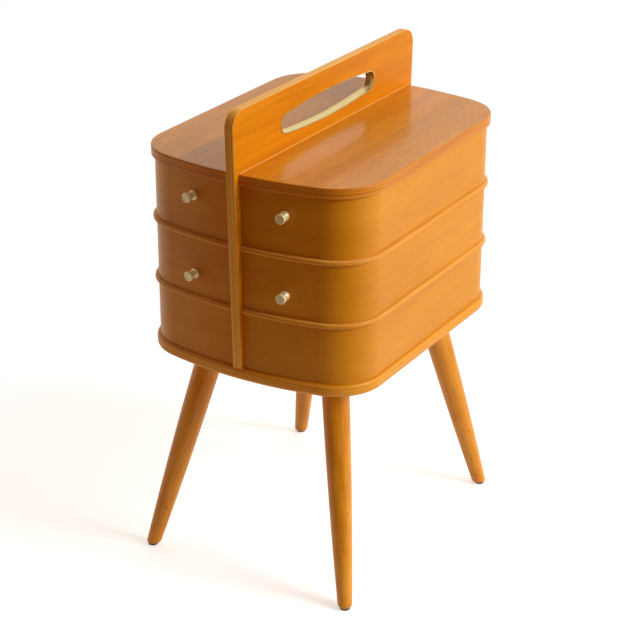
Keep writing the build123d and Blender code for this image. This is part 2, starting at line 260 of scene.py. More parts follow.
# a noise drawn out into fibres or tool lines, by its size's length and width
def fibre(tree, space, run, layer, size):
    detail, shift = layerNoise[layer]
    place = addNode(tree, "ShaderNodeMapping", None, {
        "Vector": space, "Location": (shift, shift, shift), "Scale": patternScale(run, *size[:2]),
    })
    return addNode(tree, "ShaderNodeTexNoise", None, {
        "Vector": place, "Scale": 1.0, "Detail": detail, "Roughness": noiseRoughness,
    })


# the space that a pattern lies in: the object's own, or one that its points carry
def patternSpace(tree, look):
    if look["attribute"]:
        return addNode(tree, "ShaderNodeAttribute", {"attribute_name": look["attribute"]}).outputs["Vector"]
    return addNode(tree, "ShaderNodeTexCoord").outputs["Object"]


# the shader itself: one layer makes it rougher and smoother, and a height gives it a fine relief
def finishSurface(tree, look, layer, height, links):
    rough = addNode(tree, "ShaderNodeMapRange", None, {
        "Value": layer, "From Min": noiseLow, "From Max": noiseHigh,
        "To Min": look["roughness"] - look["roughSpan"], "To Max": look["roughness"] + look["roughSpan"],
    })
    relief = addNode(tree, "ShaderNodeBump", None, {
        "Strength": look["bump"], "Distance": look["bumpDepth"] / mmPerMetre, "Height": height,
    })
    shader = addNode(tree, "ShaderNodeBsdfPrincipled", None, dict(links, Roughness=rough, Normal=relief))
    addNode(tree, "ShaderNodeOutputMaterial", None, {0: shader})


# veneer sheets laid side by side with a fine dark line at each seam; the strip beside the board is painted
# shade on the left lid (the board's shadow and the reflection of its shaded face) and a painted reflection
# of its lit face on the right lid
def paintBoardShadingAndSeams(tree, look, place, colour):
    reach = look["bandReach"]
    across = addNode(tree, "ShaderNodeMapRange", None, {
        "Value": place["x"], "From Min": -reach / mmPerMetre, "From Max": reach / mmPerMetre,
    })
    # painted shading: darker beside the board on the left lid, lighter beside it on the right lid, seam
    # lines between
    bandShading = addNode(tree, "ShaderNodeValToRGB", None, {"Fac": across}, stops=[
        ((x + reach) / (2 * reach), (tone, tone, tone, 1)) for x, tone in look["seamsAndPaintedBoardShading"]])
    return addNode(tree, "ShaderNodeMix", {"data_type": "RGBA", "blend_type": "MULTIPLY"}, {
        "Factor": 1.0, "A": colour, "B": bandShading,
    })


# small dents and worn spots on bare wood: one share of them low down, another higher up
def wearSpots(tree, look, space, place, known):
    chips = look["chips"]
    grid = addNode(tree, "ShaderNodeMapping", None, {
        "Vector": space, "Scale": patternScale(look["run"], *chips["grid"]),
    })
    cell = addNode(tree, "ShaderNodeTexVoronoi", None, {"Vector": grid, "Scale": 1.0}).outputs
    known["spot"] = addNode(tree, "ShaderNodeMapRange", smoothStep, {
        "Value": cell["Distance"], "From Min": chips["size"], "From Max": chips["size"] * chips["core"],
    })
    known["chance"] = addNode(tree, "ShaderNodeMapRange", None, {
        "Value": place["z"], "From Min": chips["low"] / mmPerMetre, "From Max": chips["high"] / mmPerMetre,
        "To Min": chips["lowShare"], "To Max": chips["highShare"],
    })
    known["draw"] = addNode(tree, "ShaderNodeSeparateColor", None, {0: cell["Color"]})
    workOut(tree, known, (
        ("picked", numberMath, "LESS_THAN", "draw", "chance"),
        ("anywhere", numberMath, "MULTIPLY", "spot", "picked"),
        ("bare", numberMath, "SUBTRACT", 1.0, "veneered"),
        ("worn", numberMath, "MULTIPLY", "anywhere", "bare"),
        ("dark", numberMath, "MULTIPLY", "worn", chips["depth"]),
        ("height", numberMath, "SUBTRACT", "fine", "worn"),
    ))
    colour = addNode(tree, "ShaderNodeMix", colourMix, {
        "Factor": known["dark"], "A": known["colour"], "B": linear(chips["colour"]),
    })
    return colour, known["height"]


# wood under clear lacquer: grain along the run, ply or end grain where the surface turns off its face
def makeWood(name, look):
    material, tree = newMaterial(name)
    coordinates = addNode(tree, "ShaderNodeTexCoord").outputs
    space = patternSpace(tree, look)
    parts = addNode(tree, "ShaderNodeSeparateXYZ", None, {0: coordinates["Object"]})
    place = dict(zip("xyz", parts.outputs))
    layers = {layer: fibre(tree, space, look["run"], layer, look[layer])
              for layer in ("fine", "streak", "patch", "pore")}
    tone = 0.0
    for layer in ("fine", "streak", "patch"):
        tone = addNode(tree, numberMath, {"operation": "MULTIPLY_ADD"}, {
            0: layers[layer], 1: look[layer][2], 2: tone,
        })
    colour = addNode(tree, "ShaderNodeValToRGB", None, {"Fac": tone}, stops=[
        (noiseMiddle - look["spread"], linear(look["dark"])),
        (noiseMiddle, linear(look["middle"])),
        (noiseMiddle + look["spread"], linear(look["light"])),
    ])
    poreMask = addNode(tree, "ShaderNodeMapRange", smoothStep, {
        "Value": layers["pore"],
        "From Min": look["poreFrom"], "From Max": look["poreFrom"] + look["poreFade"],
        "To Max": look["poreDepth"],
    })
    colour = addNode(tree, "ShaderNodeMix", colourMix, {
        "Factor": poreMask, "A": colour, "B": linear(look["poreColour"]),
    })
    # the lids' seams, and the board's painted shadow and reflections on the lids beside it
    if look["seamsAndPaintedBoardShading"]:
        colour = paintBoardShadingAndSeams(tree, look, place, colour)
    veneered, coat = 0.0, look["coat"]
    if look["edgeRun"]:
        ply = fibre(tree, space, look["edgeRun"], "edge", look["edge"])
        edgeColour = addNode(tree, "ShaderNodeValToRGB", None, {"Fac": ply}, stops=[
            (look["edgeFrom"], linear(look["edgeDark"])), (look["edgeTo"], linear(look["edgeLight"])),
        ])
        normal = addNode(tree, "ShaderNodeSeparateXYZ", None, {0: coordinates["Normal"]}).outputs
        square = addNode(tree, numberMath, {"operation": "ABSOLUTE"}, {
            0: normal["xyz".index(look["face"])],
        })
        offFace, onFace = (1.0, 0.0) if look["faceIsEdge"] else (0.0, 1.0)
        veneered = addNode(tree, "ShaderNodeMapRange", smoothStep, {
            "Value": square, "From Min": look["faceFrom"], "From Max": look["faceTo"],
            "To Min": offFace, "To Max": onFace,
        })
        colour = addNode(tree, "ShaderNodeMix", colourMix, {
            "Factor": veneered, "A": edgeColour, "B": colour,
        })
        # the edges drink the lacquer in: they have their own share of the faces' coat
        coat = addNode(tree, "ShaderNodeMapRange", None, {
            "Value": veneered, "To Min": look["coat"] * look["edgeCoat"], "To Max": look["coat"],
        })
    height = layers["fine"]
    if look["chips"]:
        known = {"fine": height, "veneered": veneered, "colour": colour}
        colour, height = wearSpots(tree, look, space, place, known)
    finishSurface(tree, look, layers["streak"], height, {
        "Base Color": colour, "Specular IOR Level": look["specular"],
        "Coat Weight": coat, "Coat Roughness": look["coatRoughness"],
    })
    return material


# bent plywood walls: rotary beech veneer stained amber under clear lacquer, satin;
# level grain that runs round the corners, and paler end grain on the upper and lower edges
bentVeneerLook = {
    "light": "#d68c17", "middle": "#cd810d", "dark": "#c07507", "spread": 0.17,
    "run": "xy",
    # layers of the grain: length and width in mm, and their share of the tone
    "fine": (46, 1.2, 0.4), "streak": (300, 14, 0.3), "patch": (150, 60, 0.3),
    "pore": (5, 0.9), "poreColour": "#864204", "poreFrom": 0.63, "poreFade": 0.1, "poreDepth": 0.36,
    "face": "z", "faceIsEdge": True, "faceFrom": 0.72, "faceTo": 0.82,              # cosines off the axis
    "edgeRun": "xyz", "edge": (8, 8), "edgeLight": "#e8a848", "edgeDark": "#cf8a2c",
    "edgeFrom": 0.38, "edgeTo": 0.62, "edgeCoat": 0.4,
    "roughness": 0.42, "roughSpan": 0.06, "bump": 0.12, "bumpDepth": 0.3,
    "specular": 0.15, "coat": 0.16, "coatRoughness": 0.2,
    "seamsAndPaintedBoardShading": None, "chips": None, "attribute": None,
}
# lids: flat plywood, veneer along the length in sheets, glossier lacquer, ply lines on the bent edge;
# painted shade of the board beside it on the left lid, a painted reflection of it on the right lid
lidVeneerLook = dict(
    bentVeneerLook,
    light="#e2941c", middle="#d68510", dark="#c27006", spread=0.15,
    run="y", fine=(34, 1.3, 0.55), streak=(380, 9, 0.25), patch=(240, 42, 0.2),
    pore=(7, 1.1), poreColour="#6e3606", poreFrom=0.6, poreDepth=0.32,
    faceIsEdge=False, edgeRun="xy", edge=(220, 2.2), edgeLight="#d4841a", edgeDark="#bc6c0e",
    coat=0.4, coatRoughness=0.14,
    bandReach=160,                  # mm from the middle to the lid's outer edge, a little over
    # mm from the middle, and how much of the colour is left there: a fine dark line at each seam, painted
    # shadow and reflection of the board beside it on the left lid, a painted reflection of its lit face
    # beside it on the right lid
    seamsAndPaintedBoardShading=((-158, 1.0), (-85, 1.0), (-84.4, 0.7), (-83.6, 0.74), (-6, 0.76), (0, 0.92),
            (84.2, 0.93), (85, 0.76), (85.8, 0.83), (110, 0.87), (158, 0.94)),
)
# handle board: plywood, its faces veneered lengthwise, its rim paler where the layers show
boardVeneerLook = dict(
    bentVeneerLook,
    light="#da8910", middle="#ce7b08", dark="#be6c04", poreColour="#8a4406",
    run="y", fine=(80, 1.4, 0.4), streak=(420, 8, 0.2), patch=(120, 40, 0.35),
    face="x", faceIsEdge=False, edgeRun="yz", edge=(240, 2.4), edgeLight="#f4b450", edgeDark="#e29c38",
    specular=0.05, coat=0.1, edgeCoat=3.0,
)
# base board: plywood with rounded edges, the layers run round them
baseWoodLook = dict(
    bentVeneerLook,
    run="y", faceIsEdge=False, edgeRun="xy", edge=(260, 2.6), edgeLight="#e2982e", edgeDark="#d48a24",
)
# tray floors: paler plywood, its rounded nose is the bead between the tiers, with a few dents
floorPlyLook = dict(
    baseWoodLook,
    light="#e6ae5c", middle="#da9e4c", dark="#c48738",
    edge=(260, 1.8), edgeLight="#de9428", edgeDark="#d0861e",
    chips={"grid": (15, 8), "size": 0.16, "core": 0.6, "low": 20, "high": 200,
           "lowShare": 0.1, "highShare": 0.1, "depth": 0.8, "colour": "#5a2c08"},
)
# inside posts, tray sides and pivot blocks: plain pale beech, thin duller lacquer
innerBeechLook = dict(
    bentVeneerLook,
    light="#e2a95c", middle="#d69a4a", dark="#c28638", poreColour="#96602a",
    coat=0.3, coatRoughness=0.3,
)
# legs: solid beech turned round, amber lacquer; flecks and pores run along each leg, most wear at its foot
legBeechLook = dict(
    bentVeneerLook,
    light="#e69c2c", middle="#d98c1c", dark="#c4780c", spread=0.145,
    attribute="grainSpace", run="z", fine=(34, 1.4, 0.4), streak=(160, 7, 0.3), patch=(60, 22, 0.3),
    pore=(6, 1.1), poreColour="#84440c", poreFrom=0.68, poreDepth=0.45,
    edgeRun=None, coat=0.3, coatRoughness=0.25,
    chips={"grid": (13, 7), "size": 0.17, "core": 0.6, "low": 20, "high": 200,
           "lowShare": 0.34, "highShare": 0.05, "depth": 0.75, "colour": "#6e360c"},
)

bentVeneer = makeWood("bentBeechVeneer", bentVeneerLook)
lidVeneer = makeWood("lidBeechVeneer", lidVeneerLook)
boardVeneer = makeWood("boardBeechVeneer", boardVeneerLook)
basePly = makeWood("basePlywood", baseWoodLook)
floorPly = makeWood("floorPlywood", floorPlyLook)
innerBeech = makeWood("innerBeech", innerBeechLook)
legBeech = makeWood("turnedBeech", legBeechLook)
print("woods made")


# metal, plastic or dried lacquer: two tones and a little relief along the lines of its making
def makeFinish(name, look):
    material, tree = newMaterial(name)
    space = patternSpace(tree, look)
    lines = fibre(tree, space, look["run"], "line", look["line"])
    colour = addNode(tree, "ShaderNodeValToRGB", None, {"Fac": lines}, stops=[
        (noiseLow, linear(look["dark"])), (noiseHigh, linear(look["light"])),
    ])
    if look["marks"]:
        known = {"space": space}
        workOut(tree, known, (
            ("flat", vectorMath, "MULTIPLY", "space", (1, 1, 0)),
            ("radius", vectorMath, "LENGTH", "flat"),
            ("share", numberMath, "MULTIPLY", "radius", mmPerMetre / look["marksReach"]),
            ("height", vectorMath, "DOT_PRODUCT", "space", (0, 0, 1)),
            ("front", numberMath, "GREATER_THAN", "height", look["marksFrom"] / mmPerMetre),
        ))
        known["marks"] = addNode(tree, "ShaderNodeValToRGB", None, {"Fac": known["share"]}, stops=[
            (radius / look["marksReach"], (depth, depth, depth, 1)) for radius, depth in look["marks"]])
        workOut(tree, known, [("shown", numberMath, "MULTIPLY", "marks", "front")])
        colour = addNode(tree, "ShaderNodeMix", colourMix, {
            "Factor": known["shown"], "A": colour, "B": linear(look["marksColour"]),
        })
    finishSurface(tree, look, lines, lines, {"Base Color": colour, "Metallic": look["metallic"]})
    return material


# bushes, washers and inserts: turned brass, yellow and bright, with fine lines round it
brassLook = {
    "light": "#d9b45a", "dark": "#bf9640", "metallic": 1.0,
    "run": "xy", "line": (6, 0.8),      # mm
    "roughness": 0.36, "roughSpan": 0.08, "bump": 0.1, "bumpDepth": 0.1,
    "marks": None, "attribute": None,
}
# the grip's lining: rolled aluminium strip, anodised pale gold, satin
liningLook = dict(brassLook, light="#ead596", dark="#d2b876", run="yz", line=(30, 0.8), roughness=0.34)
# knobs: turned brass, polished, under a pale cream lacquer that hides about two thirds of the metal;
# the cut ring and the dimple in the front face hold old polish and look darker
knobLook = dict(
    brassLook,
    light="#fff8cc", dark="#f8ecb8", metallic=0.35, attribute="turnedSpace", run="z", line=(4, 0.9),
    marks=((0.6, 0.3), (1.4, 0.0), (2.6, 0.05), (3.4, 0.28), (4.2, 0.28), (4.7, 0.0)),      # radius, depth
    marksReach=10, marksFrom=13.8, marksColour="#b8964c",       # mm of radius, mm above the seat
)
# rods, screws and bolts: drawn steel, zinc plated, grey and bright
steelLook = dict(brassLook, light="#c9c9c6", dark="#a9a9a6", run="z", line=(25, 0.7), roughness=0.34)
# glides: moulded nylon, dark grey, matt
glideLook = dict(brassLook, light="#4a4641", dark="#3a3733", metallic=0.0, line=(3, 3), roughness=0.55)
# joint line between lids and board: glue and lacquer dried in the corner, amber, satin
jointLook = dict(
    brassLook, light="#d9922e", dark="#cc8422", metallic=0.0, run="y", line=(40, 2), roughness=0.6)

liningGold = makeFinish("anodisedAluminium", liningLook)
knobGold = makeFinish("lacqueredBrass", knobLook)
brass = makeFinish("turnedBrass", brassLook)
steel = makeFinish("zincSteel", steelLook)
glideNylon = makeFinish("mouldedNylon", glideLook)
jointAmber = makeFinish("driedLacquer", jointLook)
print("metals, nylon and joint lacquer made")


# a Geometry Nodes tree with named inputs, which are handed back by name
def newTree(name, inputs):
    tree = bpy.data.node_groups.new(name, "GeometryNodeTree")
    tree.is_modifier = True
    tree.interface.new_socket("Geometry", in_out="OUTPUT", socket_type="NodeSocketGeometry")
    for label, kind in inputs.items():
        tree.interface.new_socket(label, in_out="INPUT", socket_type="NodeSocket" + kind)
    given = addNode(tree, "NodeGroupInput").outputs
    return tree, {label: given[label] for label in inputs}


# smooth faces with sharp corners kept, then the tree's last two steps
def endTree(tree, geometry, material):
    corner = addNode(tree, "FunctionNodeCompare", {"data_type": "FLOAT", "operation": "GREATER_THAN"}, {
        0: addNode(tree, "GeometryNodeInputMeshEdgeAngle"), 1: sharpFrom,
    })
    smooth = addNode(tree, "GeometryNodeSetShadeSmooth", {"domain": "FACE"}, {"Geometry": geometry})
    sharp = addNode(tree, "GeometryNodeSetShadeSmooth", {"domain": "EDGE"}, {
        "Geometry": smooth, "Selection": corner, "Shade Smooth": False,
    })
    real = addNode(tree, "GeometryNodeRealizeInstances", None, {"Geometry": sharp})
    painted = addNode(tree, "GeometryNodeSetMaterial", None, {"Geometry": real, "Material": material})
    addNode(tree, "NodeGroupOutput", None, {0: painted})


# grows a tree with its values into a plain mesh
def growPiece(name, tree, values):
    piece = addObject(name, bpy.data.meshes.new(name + "Seed"))
    grower = piece.modifiers.new("grow", "NODES")
    grower.node_group = tree
    for socket in tree.interface.items_tree:
        if socket.in_out == "INPUT":
            grower[socket.identifier] = values[socket.name]
    graph = bpy.context.evaluated_depsgraph_get()
    mesh = bpy.data.meshes.new_from_object(piece.evaluated_get(graph), depsgraph=graph)
    piece.modifiers.remove(grower)
    piece.data = mesh
    mesh.name = name
    return piece


# a tube of radius 1 and height 1 round the origin, and the x, y and z of its points
def unitTube(tree, fill, sides, rings):
    tube = addNode(tree, "GeometryNodeMeshCylinder", {"fill_type": fill}, {
        "Vertices": sides, "Side Segments": rings, "Radius": 1.0, "Depth": 1.0,
    })
    place = addNode(tree, "GeometryNodeInputPosition")
    return tube, dict(zip("xyz", addNode(tree, "ShaderNodeSeparateXYZ", None, {0: place}).outputs))


# legs: level rings down a leaning axis, their radius on a curve through three sizes
legSizes = {                            # mm
    "topCentre": (86.5, 118.6, 280), "frontFoot": (144.5, 187.1, 0), "backFoot": (144.5, 178, 0),
    "cutHeight": 3,                     # top of the glide
    "topRadius": 17.3, "middleRadius": 14.6, "footRadius": 9, "footRound": 2.8,
    "sides": 56, "rings": 128,
    "roundShare": 0.2,                  # share of the rings that lies in the rounded foot
    "grainShift": (310, 170, 530),      # from one leg to the next, so that no two have the same grain
}


def makeLegTree(sizes):
    tree, known = newTree("turnedLeg", {
        "topCentre": "Vector", "footCentre": "Vector", "topRadius": "Float", "middleRadius": "Float",
        "footRadius": "Float", "footRound": "Float", "sides": "Int", "rings": "Int",
        "grainShift": "Vector", "wood": "Material",
    })
    tube, points = unitTube(tree, "NGON", known["sides"], known["rings"])
    known.update(points)
    down = addNode(tree, numberMath, {"operation": "SUBTRACT"}, {0: 0.5, 1: points["z"]})
    roundStart = 1 - sizes["footRound"] / (sizes["topCentre"][2] - sizes["cutHeight"])
    known["along"] = addNode(tree, "ShaderNodeFloatCurve", None, {"Factor": 1.0, "Value": down}, points=[
        (0, 0), (1 - sizes["roundShare"], roundStart), (1, 1),
    ])
    workOut(tree, known, (
        # the axis from top to foot, and two level directions: outwards and sideways
        ("run", vectorMath, "SUBTRACT", "footCentre", "topCentre"),
        ("length", vectorMath, "LENGTH", "run"),
        ("drop", vectorMath, "DOT_PRODUCT", "run", (0, 0, -1)),
        ("lean", vectorMath, "MULTIPLY", "run", (1, 1, 0)),
        ("outwards", vectorMath, "NORMALIZE", "lean"),
        ("sideways", vectorMath, "CROSS_PRODUCT", (0, 0, 1), "outwards"),
        # radius = top + slope t + bend t t, through the three radii
        ("fourMiddles", numberMath, "MULTIPLY", "middleRadius", 4.0),
        ("otherEnds", numberMath, "MULTIPLY_ADD", "topRadius", 3.0, "footRadius"),
        ("slope", numberMath, "SUBTRACT", "fourMiddles", "otherEnds"),
        ("bothEnds", numberMath, "ADD", "topRadius", "footRadius"),
        ("twoMiddles", numberMath, "MULTIPLY", "middleRadius", 2.0),
        ("halfBend", numberMath, "SUBTRACT", "bothEnds", "twoMiddles"),
        ("bend", numberMath, "MULTIPLY", "halfBend", 2.0),
        ("swell", numberMath, "MULTIPLY_ADD", "bend", "along", "slope"),
        ("fullRadius", numberMath, "MULTIPLY_ADD", "swell", "along", "topRadius"),
        # the rounded foot: a quarter circle taken off the last rings
        ("toEnd", numberMath, "SUBTRACT", 1.0, "along"),
        ("heightLeft", numberMath, "MULTIPLY", "toEnd", "drop"),
        ("pastStart", numberMath, "SUBTRACT", "footRound", "heightLeft"),
        ("inRound", numberMath, "MAXIMUM", "pastStart", 0.0),
        ("roundSquare", numberMath, "MULTIPLY", "footRound", "footRound"),
        ("inSquare", numberMath, "MULTIPLY", "inRound", "inRound"),
        ("arcSquare", numberMath, "SUBTRACT", "roundSquare", "inSquare"),
        ("arc", numberMath, "SQRT", "arcSquare"),
        ("taken", numberMath, "SUBTRACT", "footRound", "arc"),
        ("radius", numberMath, "SUBTRACT", "fullRadius", "taken"),
        # a level cut through a leaning round leg is longer outwards than across
        ("round", numberMath, "MULTIPLY", "x", "radius"),
        ("across", numberMath, "MULTIPLY", "y", "radius"),
        ("stretch", numberMath, "DIVIDE", "length", "drop"),
        ("stretched", numberMath, "MULTIPLY", "round", "stretch"),
        ("downAxis", vectorMath, "SCALE", "run", "along"),
        ("ringOut", vectorMath, "SCALE", "outwards", "stretched"),
        ("ringSide", vectorMath, "SCALE", "sideways", "across"),
        ("axisPoint", vectorMath, "ADD", "topCentre", "downAxis"),
        ("outPoint", vectorMath, "ADD", "axisPoint", "ringOut"),
        ("place", vectorMath, "ADD", "outPoint", "ringSide"),
        ("lengthDown", numberMath, "MULTIPLY", "along", "length"),
    ))
    # the wood's own space: across the trunk, and along the axis
    known["trunk"] = addNode(tree, "ShaderNodeCombineXYZ", None, {
        0: known["round"], 1: known["across"], 2: known["lengthDown"],
    })
    workOut(tree, known, [("grain", vectorMath, "ADD", "trunk", "grainShift")])
    kept = addNode(tree, "GeometryNodeStoreNamedAttribute", onPoints, {
        "Geometry": tube, "Name": "grainSpace", "Value": known["grain"],
    })
    shaped = addNode(tree, "GeometryNodeSetPosition", None, {"Geometry": kept, "Position": known["place"]})
    endTree(tree, shaped, known["wood"])
    return tree


def makeLegs(sizes):
    tree = makeLegTree(sizes)
    top = Vector([v / mmPerMetre for v in sizes["topCentre"]])
    cutShare = (sizes["topCentre"][2] - sizes["cutHeight"]) / sizes["topCentre"][2]
    lengths = {name: sizes[name] / mmPerMetre
               for name in ("topRadius", "middleRadius", "footRadius", "footRound")}
    corners = {"front_left": (-1, -1), "front_right": (1, -1), "back_right": (1, 1), "back_left": (-1, 1)}
    for number, (name, (sx, sy)) in enumerate(corners.items()):
        foot = Vector([v / mmPerMetre for v in sizes["frontFoot" if sy < 0 else "backFoot"]])
        cut = top.lerp(foot, cutShare)
        leg = growPiece(name + "_turned_leg", tree, {
            "topCentre": (sx * top.x, sy * top.y, top.z), "footCentre": (sx * cut.x, sy * cut.y, cut.z),
            "grainShift": [number * v / mmPerMetre for v in sizes["grainShift"]], "wood": legBeech,
            "sides": sizes["sides"], "rings": sizes["rings"], **lengths,
        })
        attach(leg, "box")
        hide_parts(name + "_leg")


makeLegs(legSizes)
print("legs turned")


def arcPoints(centre, radius, start, end, count):
    turns = [math.radians(start + (end - start) * i / count) for i in range(count + 1)]
    return [(centre[0] + radius * math.cos(turn), centre[1] + radius * math.sin(turn)) for turn in turns]


# halves a profile's longest steps until it has enough points
def fillProfile(profile, count):
    points = [Vector(p) for p in profile]
    while len(points) < count:
        gaps = [(points[i + 1] - points[i]).length for i in range(len(points) - 1)]
        i = gaps.index(max(gaps))
        points.insert(i + 1, (points[i] + points[i + 1]) / 2)
    return points


# turned pieces: a ring for each point of a profile of (radius, height); the poles are merged to one point
def latheNodes(tree, given, profile, sizes):
    rings = sizes["profileRings"]
    points = fillProfile(profile, rings + 1)
    tube, known = unitTube(tree, "NONE", given["sides"], rings)
    share = addNode(tree, numberMath, {"operation": "ADD"}, {0: known["z"], 1: 0.5})
    for axis, (name, full) in enumerate((("out", "radius"), ("up", "length"))):
        longest = max(point[axis] for point in points)
        curve = addNode(tree, "ShaderNodeFloatCurve", None, {"Factor": 1.0, "Value": share}, points=[
            (i / rings, point[axis] / longest) for i, point in enumerate(points)])
        known[name] = addNode(tree, numberMath, {"operation": "MULTIPLY"}, {0: curve, 1: given[full]})
    workOut(tree, known, (
        ("placeX", numberMath, "MULTIPLY", "x", "out"),
        ("placeY", numberMath, "MULTIPLY", "y", "out"),
    ))
    place = addNode(tree, "ShaderNodeCombineXYZ", None, {
        0: known["placeX"], 1: known["placeY"], 2: known["up"],
    })
    shaped = addNode(tree, "GeometryNodeSetPosition", None, {"Geometry": tube, "Position": place})
    return addNode(tree, "GeometryNodeMergeByDistance", None, {
        "Geometry": shaped, "Distance": sizes["mergeWithin"] / mmPerMetre,
    })


# knobs: a spool of two round flanges and a hollow neck, one turned ring in its face
knobSizes = {                           # mm
    "acrossBoard": 62.5,                # middle of the board to the knob
    "wallRadius": 465.2, "wallCentre": 269.5,       # the bowed front wall's outer face
    "heights": {"top": 501, "middle": 402},
    "radius": 6, "length": 14.5, "neckRadius": 3.4, "rimRadius": 4.8,
    "backFlange": 2.6, "frontFlange": 4, "edge": 0.7, "seatPlay": 0.05,
    "ringRadius": 3.9, "ringWidth": 0.5, "ringDepth": 0.28, "lipDepth": 0.07,
    "dish": 0.25, "dishHalfway": 0.2,   # depth of the hollow face in the middle and halfway out
    "sides": 48, "neckSteps": 12, "edgeSteps": 4, "rimSteps": 5, "profileRings": 64, "mergeWithin": 0.002,
}


def knobProfile(sizes):
    r, e, low, back = sizes["radius"], sizes["edge"], sizes["seatPlay"], sizes["backFlange"]
    top, front = sizes["length"], sizes["length"] - sizes["frontFlange"]
    middle, flare = (back + front) / 2, sizes["rimRadius"] - sizes["neckRadius"]
    steps, few = sizes["neckSteps"], sizes["edgeSteps"]
    heights = [back + (front - back) * i / steps for i in range(steps + 1)]
    neck = [(sizes["neckRadius"] + flare * ((h - middle) / (front - middle)) ** 2, h) for h in heights]
    ring, wide, deep = sizes["ringRadius"], sizes["ringWidth"] / 2, sizes["ringDepth"]
    return (
        [(0, low), (r - e, low)]
        + arcPoints((r - e, low + e), e, -90, 0, few)[1:]
        + arcPoints((r - e, back - e), e, 0, 90, few)
        + neck
        + arcPoints((r - e, front + e), e, -90, 0, few)
        + arcPoints((r - e, top - e), e, 0, 90, sizes["rimSteps"])
        + [(ring + 2 * wide, top), (ring + wide, top - deep),
           (ring - wide, top - deep), (ring - 2 * wide, top - sizes["lipDepth"]),
           (ring / 2, top - sizes["dishHalfway"]), (0, top - sizes["dish"])]
    )


def makeKnobs(sizes):
    tree, given = newTree("turnedKnob", {
        "place": "Vector", "axis": "Vector", "radius": "Float", "length": "Float", "sides": "Int",
        "metal": "Material",
    })
    spool = latheNodes(tree, given, knobProfile(sizes), sizes)
    kept = addNode(tree, "GeometryNodeStoreNamedAttribute", onPoints, {
        "Geometry": spool, "Name": "turnedSpace", "Value": addNode(tree, "GeometryNodeInputPosition"),
    })
    turn = addNode(tree, "FunctionNodeAlignRotationToVector", {"axis": "Z"}, {"Vector": given["axis"]})
    placed = addNode(tree, "GeometryNodeTransform", None, {
        "Geometry": kept, "Translation": given["place"], "Rotation": turn,
    })
    endTree(tree, placed, given["metal"])
    wallRadius, wallCentre = sizes["wallRadius"] / mmPerMetre, sizes["wallCentre"] / mmPerMetre
    for tier, height in sizes["heights"].items():
        for side, sign in (("left", -1), ("right", 1)):
            x = sign * sizes["acrossBoard"] / mmPerMetre
            axis = Vector((x, -math.sqrt(wallRadius ** 2 - x * x), 0)) / wallRadius
            knob = growPiece(f"{tier}_{side}_spool_knob", tree, {
                "place": axis * wallRadius + Vector((0, wallCentre, height / mmPerMetre)), "axis": axis,
                "radius": sizes["radius"] / mmPerMetre, "length": sizes["length"] / mmPerMetre,
                "sides": sizes["sides"], "metal": knobGold,
            })
            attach(knob, f"{tier}_{side}_tray")
            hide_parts(f"{tier}_{side}_knob")


makeKnobs(knobSizes)
print("knobs turned")

# wood screws up into the handle board, their slotted heads in the base board's holes
screwSizes = {                          # mm
    "count": 4, "reach": 150, "height": 280,        # reach: middle of the board to the last screw
    "radius": 4.5, "head": 3, "headRim": 1.65, "headEdge": 0.6, "edgeSteps": 4,
    "length": 40, "shank": 2, "taper": 9, "tip": 5, "tipRadius": 1.5,
    "slotWidth": 1.2, "slotDepth": 1.4, "cutterReach": 3.0,         # cutterReach: times the head's radius
    "sides": 32, "profileRings": 64, "mergeWithin": 0.002, "turnSeed": 4,
}


def screwProfile(sizes):
    r, shank, edge, end = sizes["radius"], sizes["shank"], sizes["headEdge"], sizes["length"]
    return (
        [(0, 0), (r - edge, 0)]
        + arcPoints((r - edge, edge), edge, -90, 0, sizes["edgeSteps"])[1:]
        + [(r, sizes["headRim"]), (shank, sizes["head"]), (shank, end - sizes["taper"]),
           (sizes["tipRadius"], end - sizes["tip"]), (0, end)]
    )


def makeScrews(sizes):
    tree, known = newTree("woodScrews", {
        "count": "Int", "first": "Vector", "step": "Vector", "radius": "Float", "length": "Float",
        "slotWidth": "Float", "slotDepth": "Float", "sides": "Int", "metal": "Material",
    })
    screw = latheNodes(tree, known, screwProfile(sizes), sizes)
    # the slot's cutter is longer than the head is wide, and half of its height is in the head
    workOut(tree, known, (
        ("cutterLength", numberMath, "MULTIPLY", "radius", sizes["cutterReach"]),
        ("cutterHeight", numberMath, "MULTIPLY", "slotDepth", 2.0),
    ))
    cutterSize = addNode(tree, "ShaderNodeCombineXYZ", None, {
        0: known["cutterLength"], 1: known["slotWidth"], 2: known["cutterHeight"],
    })
    cutter = addNode(tree, "GeometryNodeMeshCube", None, {"Size": cutterSize})
    slotted = addNode(tree, "GeometryNodeMeshBoolean", {"operation": "DIFFERENCE"}, {
        "Mesh 1": screw, "Mesh 2": cutter,
    })
    line = addNode(tree, "GeometryNodeMeshLine", {"mode": "OFFSET"}, {
        "Count": known["count"], "Start Location": known["first"], "Offset": known["step"],
    })
    turn = addNode(tree, "FunctionNodeRandomValue", {"data_type": "FLOAT_VECTOR"}, {
        "Min": (0, 0, 0), "Max": (0, 0, math.pi), "Seed": sizes["turnSeed"],
    })
    spread = addNode(tree, "GeometryNodeInstanceOnPoints", None, {
        "Points": line, "Instance": slotted, "Rotation": turn,
    })
    endTree(tree, spread, known["metal"])
    lengths = {name: sizes[name] / mmPerMetre for name in ("radius", "length", "slotWidth", "slotDepth")}
    reach = sizes["reach"] / mmPerMetre
    screws = growPiece("slotted_screws", tree, {
        "count": sizes["count"], "first": (0, -reach, sizes["height"] / mmPerMetre),
        "step": (0, 2 * reach / (sizes["count"] - 1), 0),
        "sides": sizes["sides"], "metal": steel, **lengths,
    })
    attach(screws, "box")
    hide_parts("board_screws")


makeScrews(screwSizes)
print("screws made")


